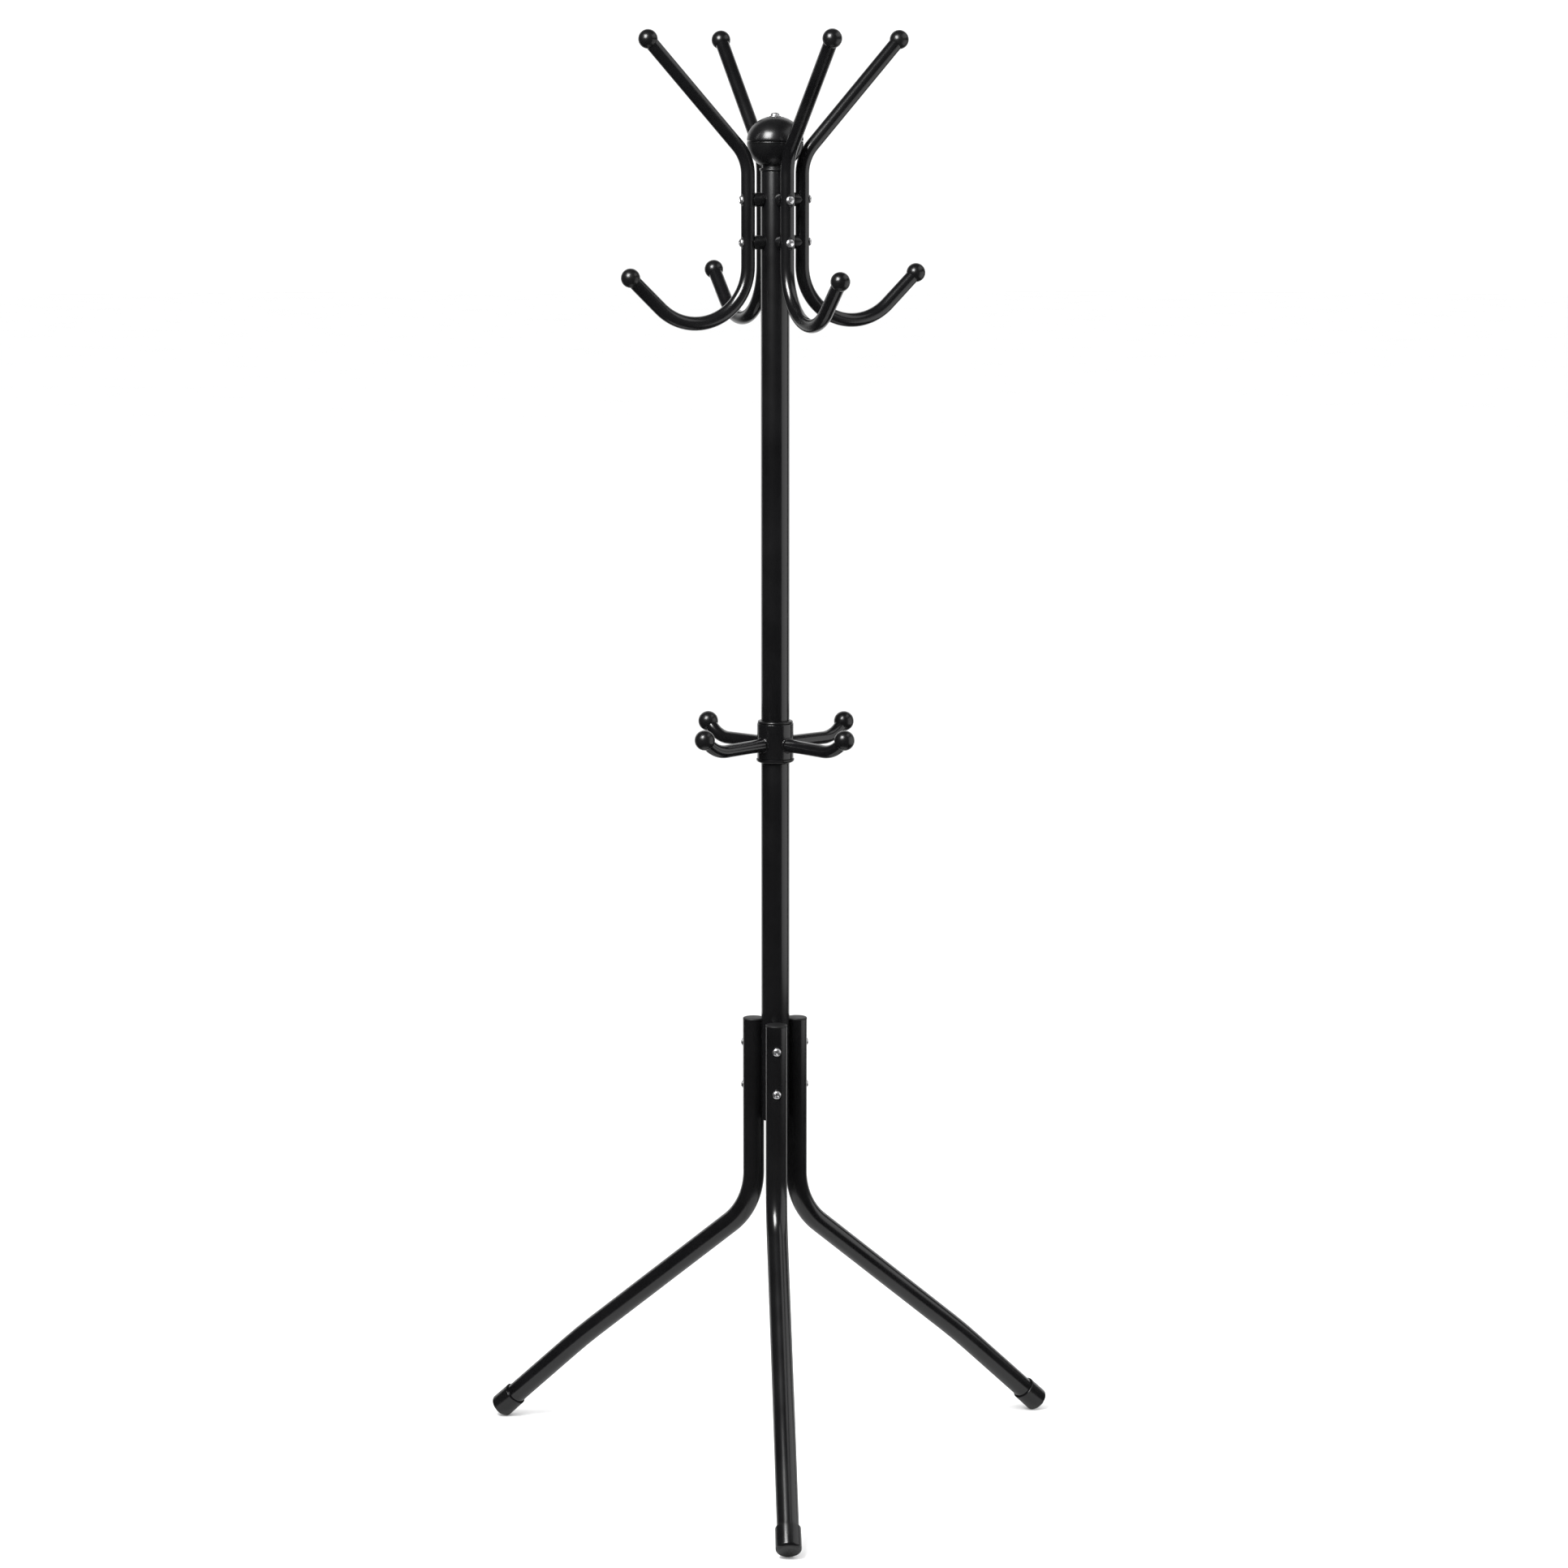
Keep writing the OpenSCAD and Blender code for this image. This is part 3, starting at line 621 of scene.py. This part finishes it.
def build_double_hook(corner, compass):
    place = facing(compass)
    middle = sum(HOOK_SCREWS_Z) / 2
    inset = 4 * MM
    up = route_stations(
        [(0, ARM_BEND_Z - middle), (ARM_BEND_R, ARM_LEAN), (0, ARM_STRAIGHT - inset)],
        HOOK_X, middle, 0,
    )
    down = route_stations(
        [(0, middle - CURL_START_Z), (CURL_R, -90 - CURL_RISE), (0, CURL_STRAIGHT - inset)],
        HOOK_X, middle, 180,
    )
    flipped = [(x, z, heading - 180) for x, z, heading in reversed(down)]
    stations = flipped[:-1] + up[1:]
    stations = with_fine_steps(stations, HOOK_SCREWS_Z)
    shape = dimpled(HOOK_SEAT_X, HOOK_SCREWS_Z)
    mesh = bmesh.new()
    tube(mesh, stations, HOOK_R, place, shape=shape)
    add_piece(f"double_hook_{corner}_tube", mesh, "tube_coat", FIXED, [f"double_hook_{corner}"])

    lean = math.radians(ARM_LEAN)
    rise = math.radians(CURL_RISE)
    arm_x = HOOK_X + ARM_BEND_R * (1 - math.cos(lean)) + ARM_STRAIGHT * math.sin(lean)
    arm_z = ARM_BEND_Z + ARM_BEND_R * math.sin(lean) + ARM_STRAIGHT * math.cos(lean)
    curl_x = HOOK_X + CURL_R * (1 + math.sin(rise)) + CURL_STRAIGHT * math.cos(rise)
    curl_z = CURL_START_Z - CURL_R * math.cos(rise) + CURL_STRAIGHT * math.sin(rise)
    for kind, x, z, angle in (
        ("arm_ball", arm_x, arm_z, lean),
        ("curl_ball", curl_x, curl_z, math.pi / 2 - rise),
    ):
        mesh = bmesh.new()
        ball(mesh, place @ Matrix.Translation((x, 0, z)) @ Matrix.Rotation(angle, 4, "Y"), BALL_R, HOOK_R)
        add_piece(f"{kind}_{corner}_knob", mesh, "ball_plastic", FIXED, [f"{kind}_{corner}"])


def build_spacers():
    """Barrel spacers whose ends follow the round of the pole and of the hook."""
    barrel_r = 8.5 * MM
    waist = 0.5 * MM
    segments, rows = 72, 20
    mesh = bmesh.new()
    for i in range(4):
        for z in HOOK_SCREWS_Z:
            place = facing(HOOK_TURN + 90 * i) @ Matrix.Translation((0, 0, z))
            rings = []
            for row in range(rows + 1):
                t = row / rows
                edge = 1 - smooth_step(min(t, 1 - t) / 0.16)
                r = barrel_r - 1.3 * MM * edge ** 2 - waist * (1 - math.sin(math.pi * t))
                ring = []
                for k in range(segments):
                    a = 2 * math.pi * k / segments
                    y, h = r * math.cos(a), r * math.sin(a)
                    inner = math.sqrt(POLE_R ** 2 - min(abs(y), POLE_R) ** 2)
                    outer = HOOK_X - math.sqrt(max(HOOK_R ** 2 - y * y, 0))
                    ring.append(mesh.verts.new(place @ Vector((inner + (outer - inner) * t, y, h))))
                rings.append(ring)
            for low, high in zip(rings, rings[1:]):
                for k in range(segments):
                    j = (k + 1) % segments
                    mesh.faces.new((low[k], low[j], high[j], high[k]))
            mesh.faces.new(rings[0])
            mesh.faces.new(rings[-1])
    add_piece("hook_spacer_barrels", mesh, "ball_plastic", FIXED, ["hook_spacers"])


# ---- turning ring ----


def build_ring():
    mesh = bmesh.new()
    inner_r = 19.55 * MM
    outline = [
        (inner_r, SLEEVE_LOW_Z), (SLEEVE_R, SLEEVE_LOW_Z),
        (SLEEVE_R, SLEEVE_TOP_Z), (inner_r, SLEEVE_TOP_Z),
    ]
    lathe(mesh, filleted(outline, [0.5 * MM, 0.9 * MM]), segments=128, closed=True)
    add_piece("ring_sleeve_tube", mesh, "tube_coat", TURNING, ["ring_sleeve"])

    bore_r = POLE_R + 0.1 * MM
    flange_low = SLEEVE_TOP_Z + 0.02 * MM
    mesh = bmesh.new()
    outline = [
        (bore_r, SLEEVE_LOW_Z), (inner_r - 0.1 * MM, SLEEVE_LOW_Z), (inner_r - 0.1 * MM, flange_low),
        (BUSH_R, flange_low), (BUSH_R, BUSH_TOP_Z), (bore_r, BUSH_TOP_Z),
    ]
    lathe(mesh, filleted(outline, [0.3 * MM, 0, 1.2 * MM, 1.6 * MM]), segments=128, closed=True)
    add_piece("ring_bush_flange", mesh, "ball_plastic", TURNING, ["ring_bush"])

    mesh = bmesh.new()
    height = STOP_TOP_Z - STOP_LOW_Z
    foot_r = 18.1 * MM
    belly = [
        (foot_r + (STOP_R - foot_r) * math.sin(a), STOP_LOW_Z + 0.7 * MM + 0.62 * height * (1 - math.cos(a)))
        for a in (math.radians(6 * i) for i in range(16))
    ]
    bore_r = POLE_R + 0.05 * MM
    inner = [(STOP_R - 0.6 * MM, STOP_TOP_Z), (bore_r, STOP_TOP_Z), (bore_r, STOP_LOW_Z)]
    lip = [(foot_r - 0.3 * MM, STOP_LOW_Z), (foot_r + 0.3 * MM, STOP_LOW_Z + 0.3 * MM)]
    lathe(mesh, lip + belly + [(STOP_R, STOP_TOP_Z - 0.6 * MM)] + inner, segments=128, closed=True)
    add_piece("ring_stop_collar_moulded", mesh, "ball_plastic", FIXED, ["ring_stop_collar"])


def build_ring_hook(corner, compass):
    place = facing(compass)
    start_r = 20.7 * MM
    dip = math.radians(RING_HOOK_DIP)
    stations = route_stations(
        [
            (0, RING_HOOK_STRAIGHT - start_r / math.cos(dip)),
            (RING_HOOK_BEND_R, -RING_HOOK_DIP - RING_HOOK_RISE),
            (0, RING_HOOK_TIP - 4 * MM),
        ],
        start_r, RING_HOOK_Z - start_r * math.tan(dip), 90 + RING_HOOK_DIP,
    )
    mesh = bmesh.new()
    tube(mesh, stations, RING_HOOK_R, place)
    add_piece(f"ring_hook_{corner}_tube", mesh, "tube_coat", TURNING, [f"ring_hook_{corner}"])

    rise = math.radians(RING_HOOK_RISE)
    x = RING_HOOK_STRAIGHT * math.cos(dip) + RING_HOOK_BEND_R * (math.sin(rise) + math.sin(dip))
    x += RING_HOOK_TIP * math.cos(rise)
    z = RING_HOOK_Z - RING_HOOK_STRAIGHT * math.sin(dip) + RING_HOOK_TIP * math.sin(rise)
    z += RING_HOOK_BEND_R * (math.cos(dip) - math.cos(rise))
    mesh = bmesh.new()
    at_ball = place @ Matrix.Translation((x, 0, z)) @ Matrix.Rotation(math.pi / 2 - rise, 4, "Y")
    ball(mesh, at_ball, RING_BALL_R, RING_HOOK_R)
    add_piece(f"ring_ball_{corner}_knob", mesh, "ball_plastic", TURNING, [f"ring_ball_{corner}"])


def build_welds():
    """A rippled weld bead round the root of each ring hook."""
    bead = 1.75 * MM
    ripples = 13
    steps, sides = 264, 14
    dip = math.radians(RING_HOOK_DIP)
    along = Vector((math.cos(dip), 0, -math.sin(dip)))
    across = Vector((0, 1, 0))
    upward = along.cross(across)
    mesh = bmesh.new()
    for hook in range(4):
        place = facing(RING_TURN + 90 * hook)
        rings = []
        for k in range(steps):
            t = 2 * math.pi * k / steps
            radial = across * math.cos(t) + upward * math.sin(t)
            side = radial * RING_HOOK_R
            base = Vector((0, 0, RING_HOOK_Z)) + side
            reach = math.sqrt(SLEEVE_R ** 2 - base.y ** 2)
            point = base + along * ((reach - base.x) / along.x)
            wall = Vector((point.x, point.y, 0)).normalized()
            ripple = (ripples * t / (2 * math.pi)) % 1
            swell = 1 + 0.08 * math.sin(math.pi * ripple) - 0.04 + 0.1 * math.sin(3 * t + 2 * hook)
            ring = []
            for s in range(sides):
                a = 2 * math.pi * s / sides
                ring.append(mesh.verts.new(place @ (
                    point + (radial * math.cos(a) + wall * math.sin(a)) * bead * swell
                )))
            rings.append(ring)
        for low, high in zip(rings, rings[1:] + rings[:1]):
            for s in range(sides):
                j = (s + 1) % sides
                mesh.faces.new((low[s], low[j], high[j], high[s]))
    add_piece("ring_weld_beads", mesh, "tube_coat", TURNING, ["ring_welds"])


# ---- legs ----


def leg_runs():
    """The leg's runs, and the (x, z) of the middle of its foot cap's end face."""
    top, foot = math.radians(LEG_LEAN_TOP), math.radians(LEG_LEAN_FOOT)
    end_z = FOOT_R * math.sin(foot) - 1.4 * MM
    bow_start = LEG_BEND_Z - LEG_BEND_R * math.sin(top) - LEG_STRAIGHT * math.cos(top)
    bow_end = bow_start - LEG_BOW_R * (math.sin(top) - math.sin(foot))
    last = (bow_end - end_z) / math.cos(foot)
    end_x = LEG_X + LEG_BEND_R * (1 - math.cos(top)) + LEG_STRAIGHT * math.sin(top)
    end_x += LEG_BOW_R * (math.cos(foot) - math.cos(top)) + last * math.sin(foot)
    runs = [
        (0, LEG_TOP_Z - LEG_BEND_Z),
        (LEG_BEND_R, -LEG_LEAN_TOP),
        (0, LEG_STRAIGHT),
        (LEG_BOW_R, LEG_LEAN_TOP - LEG_LEAN_FOOT),
        (0, last - 5 * MM),
    ]
    return runs, end_x, end_z


def build_leg(side, compass):
    place = facing(compass)
    runs, end_x, end_z = leg_runs()
    stations = route_stations(runs, LEG_X, LEG_TOP_Z, 180, arc_step=1.5)
    stations = with_fine_steps(stations, LEG_SCREWS_Z)
    shape = dimpled(LEG_SEAT_X, LEG_SCREWS_Z)
    mesh = bmesh.new()
    tube(mesh, stations, LEG_R, place, segments=96, shape=shape)
    add_piece(f"leg_{side}_tube", mesh, "tube_coat", FIXED, [f"leg_{side}"])

    mesh = bmesh.new()
    cap = LEG_CAP_TOP_Z - LEG_TOP_Z
    outline = [(0, 0.05 * MM), (LEG_R, 0.05 * MM), (LEG_R, cap), (0, cap)]
    at_top = place @ Matrix.Translation((LEG_X, 0, LEG_TOP_Z))
    lathe(mesh, filleted(outline, [0.3 * MM, 1.3 * MM]), at_top, 72)
    add_piece(f"leg_cap_{side}_plug", mesh, "soft_plastic", FIXED, [f"leg_cap_{side}"])

    # foot cap: a rolled mouth, a slightly tapered body and a round-edged sole worn flat on the floor
    foot_r, foot_l = FOOT_R, 30.5 * MM
    bore_r = LEG_R + 0.15 * MM
    outline = [
        (bore_r, -foot_l), (foot_r - 0.1 * MM, -foot_l), (foot_r - 0.2 * MM, -foot_l + 3 * MM),
        (foot_r, 0), (0, 0),
    ]
    body = filleted(outline, [0.9 * MM, 0, 4.2 * MM], 8)
    socket = [Vector((0, -5 * MM)), Vector((bore_r, -5 * MM))]
    lean = Matrix.Rotation(math.radians(180 - LEG_LEAN_FOOT), 4, "Y")
    at_foot = Matrix.Translation((end_x, 0, end_z)) @ lean
    mesh = bmesh.new()
    lathe(mesh, [*socket, *body], at_foot, 96)
    for vert in mesh.verts:
        vert.co.z = max(vert.co.z, 0.0)
    mesh.transform(place)
    add_piece(f"foot_cap_{side}_rubber", mesh, "foot_rubber", FIXED, [f"foot_cap_{side}"])


# ---- build ----

build_pole()
build_finial()
build_screws()
build_spacers()
build_ring()
build_welds()
for i, corner in enumerate(CORNERS):
    build_double_hook(corner, HOOK_TURN + 90 * i)
    build_ring_hook(corner, RING_TURN + 90 * i)
for i, side in enumerate(LEGS):
    build_leg(side, LEG_TURN + 120 * i)

# the CAD nodes that stay shown take their slot's finished material
SLOT_OF = {part["node"]: part["material_slot"] for part in frame["record"]["subparts"]}
for node, shown in frame["nodes"].items():
    shown.data.materials.clear()
    shown.data.materials.append(MATERIALS[SLOT_OF[node]])


# ---- studio ----


def floor_paint(name, tone):
    """Matte grey paint of a tone, very slightly mottled."""
    nodes = Nodes(name)
    nodes.two_tones(nodes.remap(nodes.noise(3, 2), 0, 1), (tone,) * 3, (tone * 0.985,) * 3)
    nodes.shader.inputs["Roughness"].default_value = 0.8
    nodes.shader.inputs["Specular IOR Level"].default_value = 0.2
    return nodes.material


def build_floor():
    """A plain pale floor. The gloss sees only a dimmer patch of it, as in a dark studio."""
    for name, radius, height, tone in (
        ("floor", 30.0, 0.0, 0.9),
        ("floor_in_gloss", 0.43, 0.5 * MM, 0.42),
    ):
        mesh = bmesh.new()
        lathe(mesh, [(0, height), (radius, height)], segments=96)
        for face in mesh.faces:
            if face.normal.z < 0:
                face.normal_flip()
        data = bpy.data.meshes.new(name)
        mesh.to_mesh(data)
        mesh.free()
        data.materials.append(floor_paint(name, tone))
        floor = bpy.data.objects.new(name, data)
        bpy.context.scene.collection.objects.link(floor)
        in_gloss = name == "floor_in_gloss"
        floor.visible_glossy = in_gloss
        for ray in ("visible_camera", "visible_diffuse", "visible_shadow"):
            setattr(floor, ray, not in_gloss)


def soft_box(name, azimuth, elevation, distance, target_z, width, height, radiance):
    """An area light that faces the rack from a compass angle, with a given radiance."""
    light = bpy.data.lights.new(name, "AREA")
    light.shape = "RECTANGLE"
    light.size, light.size_y = width, height
    light.energy = radiance * math.pi * width * height
    a, e = math.radians(azimuth), math.radians(elevation)
    away = Vector((math.sin(a) * math.cos(e), -math.cos(a) * math.cos(e), math.sin(e)))
    lamp = bpy.data.objects.new(name, light)
    lamp.location = Vector((0, 0, target_z)) + away * distance
    lamp.rotation_mode = "QUATERNION"
    lamp.rotation_quaternion = away.to_track_quat("Z", "Y")
    lamp.visible_camera = False
    bpy.context.scene.collection.objects.link(lamp)


def build_world():
    """A white room. In gloss it is white behind the rack and dim in front, where the studio is dark."""
    world = bpy.data.worlds.new("studio")
    bpy.context.scene.world = world
    world.use_nodes = True
    tree = world.node_tree
    tree.nodes.clear()
    link = tree.links.new

    def node(kind, **values):
        made = tree.nodes.new(kind)
        for key, value in values.items():
            setattr(made, key, value)
        return made

    place = node("ShaderNodeTexCoord")
    split = node("ShaderNodeSeparateXYZ")
    link(place.outputs["Generated"], split.inputs["Vector"])
    behind = node("ShaderNodeMapRange", interpolation_type="SMOOTHSTEP")
    for key, value in (("From Min", 0.6), ("From Max", 0.76), ("To Min", 0.02), ("To Max", 1.0)):
        behind.inputs[key].default_value = value
    link(split.outputs["Y"], behind.inputs["Value"])
    room = node("ShaderNodeBackground")
    link(behind.outputs["Result"], room.inputs["Strength"])
    white = node("ShaderNodeBackground")
    white.inputs["Strength"].default_value = 1.17
    for shader in (room, white):
        shader.inputs["Color"].default_value = (1, 1, 1, 1)
    seen = node("ShaderNodeLightPath")
    mix = node("ShaderNodeMixShader")
    link(seen.outputs["Is Glossy Ray"], mix.inputs["Fac"])
    link(white.outputs["Background"], mix.inputs[1])
    link(room.outputs["Background"], mix.inputs[2])
    link(mix.outputs["Shader"], node("ShaderNodeOutputWorld").inputs["Surface"])


def build_camera():
    lens = bpy.data.cameras.new("camera")
    lens.lens = 105.41
    lens.sensor_width = 36
    camera = bpy.data.objects.new("camera", lens)
    camera.location = (10.4 * MM, -5.45, 1.6876)
    pitch_down = 8.864
    camera.rotation_euler = (math.radians(90 - pitch_down), 0, 0)
    bpy.context.scene.collection.objects.link(camera)
    bpy.context.scene.camera = camera


build_floor()
build_world()
build_camera()
soft_box("key", -33, 37.5, 2.6, 1.3, 1.15, 1.25, 28)
soft_box("card_right", 83, 0, 1.2, 0.93, 1.33, 1.34, 1.1)
soft_box("card_high", 85, 36, 1.2, 1.6, 1.3, 0.7, 1.1)
bpy.context.scene.view_settings.view_transform = "Standard"
